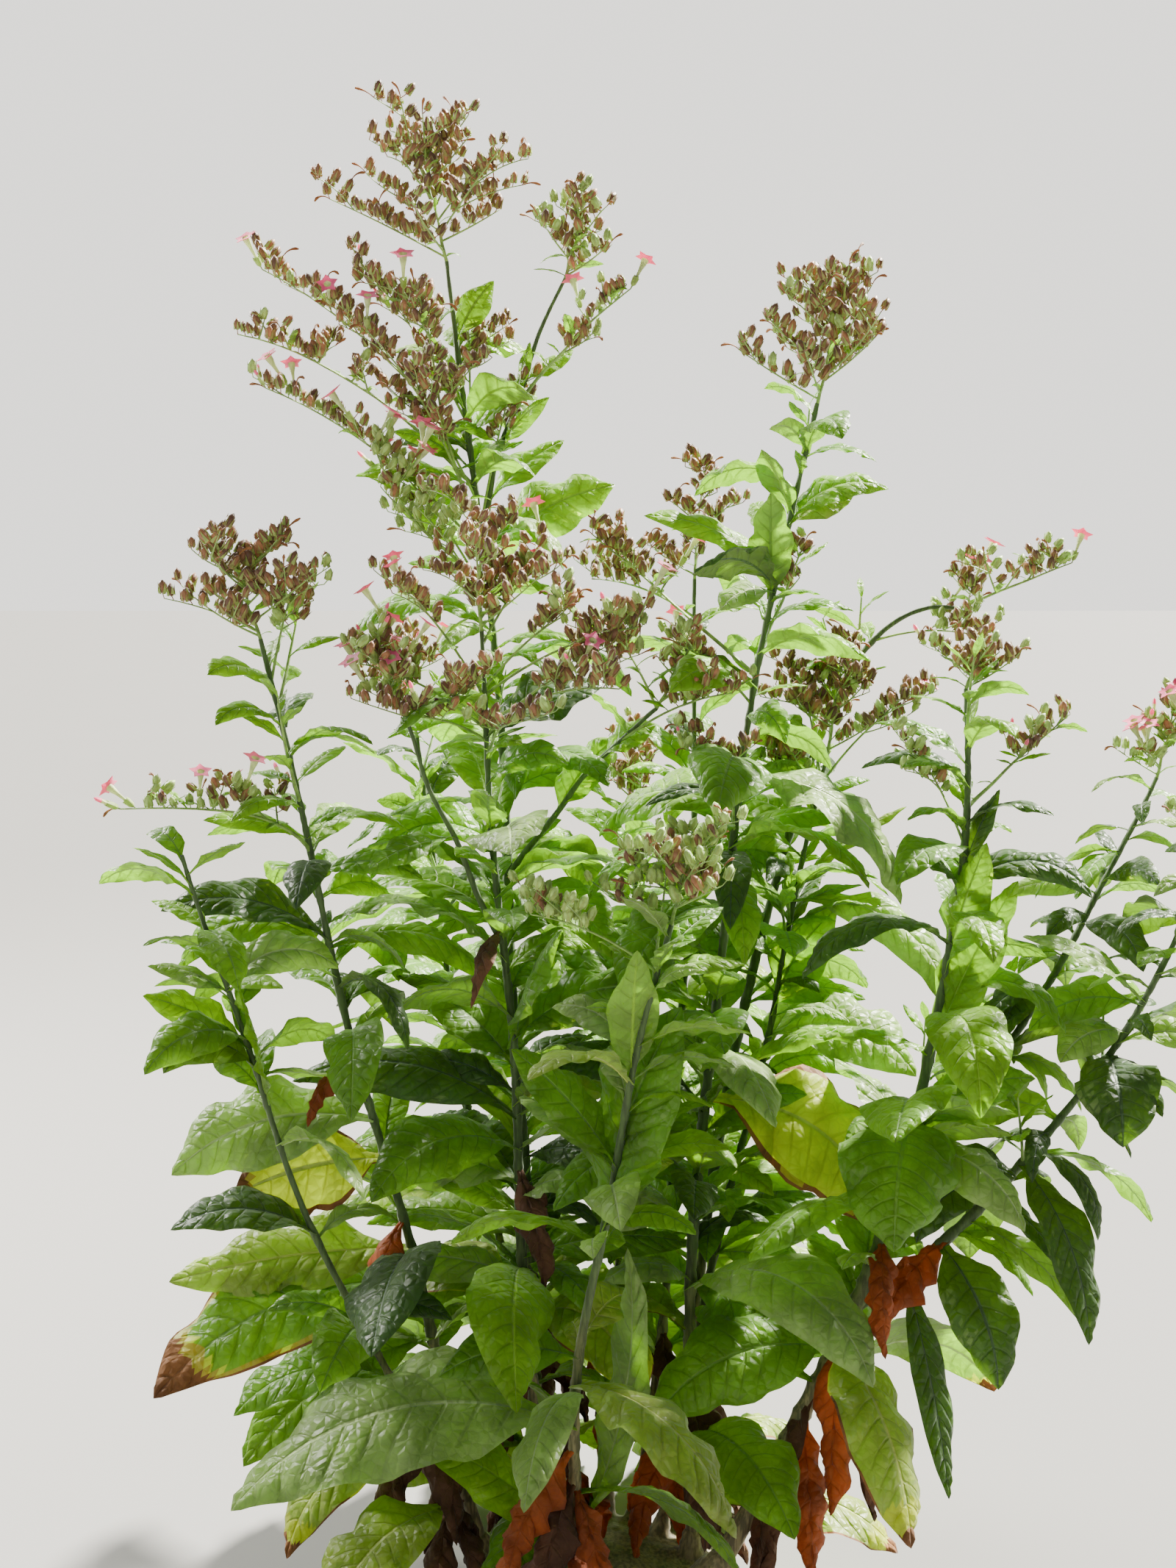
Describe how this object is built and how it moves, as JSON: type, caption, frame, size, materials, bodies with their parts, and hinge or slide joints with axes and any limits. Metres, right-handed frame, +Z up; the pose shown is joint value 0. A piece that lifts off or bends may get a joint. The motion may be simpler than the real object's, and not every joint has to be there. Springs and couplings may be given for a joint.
{
  "type": "tobacco plant",
  "caption": "Flowering tobacco plant: leaning stems from one woody root crown, with broad clasping leaves and open panicles of seed capsules and a few pink flowers.",
  "frame": {"origin": "middle of the flat cut under the root crown, at ground level", "axes": "+Z up, +X to the right and -Y towards a person who looks at the side that the picture shows"},
  "size_m": [1.6634, 1.1014, 2.2106],
  "materials": {
    "wood": "rough woody crown with old leaf scars",
    "stem": "green to brown, slightly ribbed and sticky-haired stems",
    "leaf": "soft, quilted, slightly sheeny green leaves, some with yellow and brown edges",
    "panicle": "dry brown capsules, grey-green unripe ones and pink flowers on thin green twigs"
  },
  "bodies": {
    "root": {"root_crown": "wood", "tall_stem": "stem", "middle_stem": "stem", "left_stem": "stem", "far_left_stem": "stem", "front_stem": "stem", "right_centre_stem": "stem", "right_stem": "stem", "rear_stem": "stem", "inner_right_stem": "stem", "far_arch_stem": "stem", "back_left_stem": "stem", "back_centre_stem": "stem", "upper_bough": "stem", "middle_bough": "stem", "diagonal_bough": "stem", "low_arch": "stem", "outer_arch": "stem", "top_panicle": "panicle", "second_panicle": "panicle", "upper_panicle": "panicle", "fork_panicle": "panicle", "upper_left_panicle": "panicle", "young_panicle": "panicle", "middle_panicle": "panicle", "middle_bough_panicle": "panicle", "diagonal_panicle": "panicle", "left_panicle": "panicle", "left_low_panicle": "panicle", "front_panicle": "panicle", "centre_panicle": "panicle", "thin_panicle": "panicle", "centre_side_panicle": "panicle", "rear_panicle": "panicle", "inner_panicle": "panicle", "far_panicle": "panicle", "right_panicle": "panicle", "right_side_panicle": "panicle", "low_arch_panicle": "panicle", "outer_arch_panicle": "panicle", "back_left_panicle": "panicle", "back_centre_panicle": "panicle", "tall_low_leaves": "leaf", "tall_high_leaves": "leaf", "middle_leaves": "leaf", "left_low_leaves": "leaf", "left_high_leaves": "leaf", "far_left_leaves": "leaf", "front_leaves": "leaf", "centre_low_leaves": "leaf", "centre_high_leaves": "leaf", "rear_leaves": "leaf", "inner_leaves": "leaf", "far_arch_leaves": "leaf", "right_low_leaves": "leaf", "right_high_leaves": "leaf", "low_arch_leaves": "leaf", "outer_arch_leaves": "leaf", "back_left_leaves": "leaf", "back_centre_leaves": "leaf"}
  },
  "joints": []
}
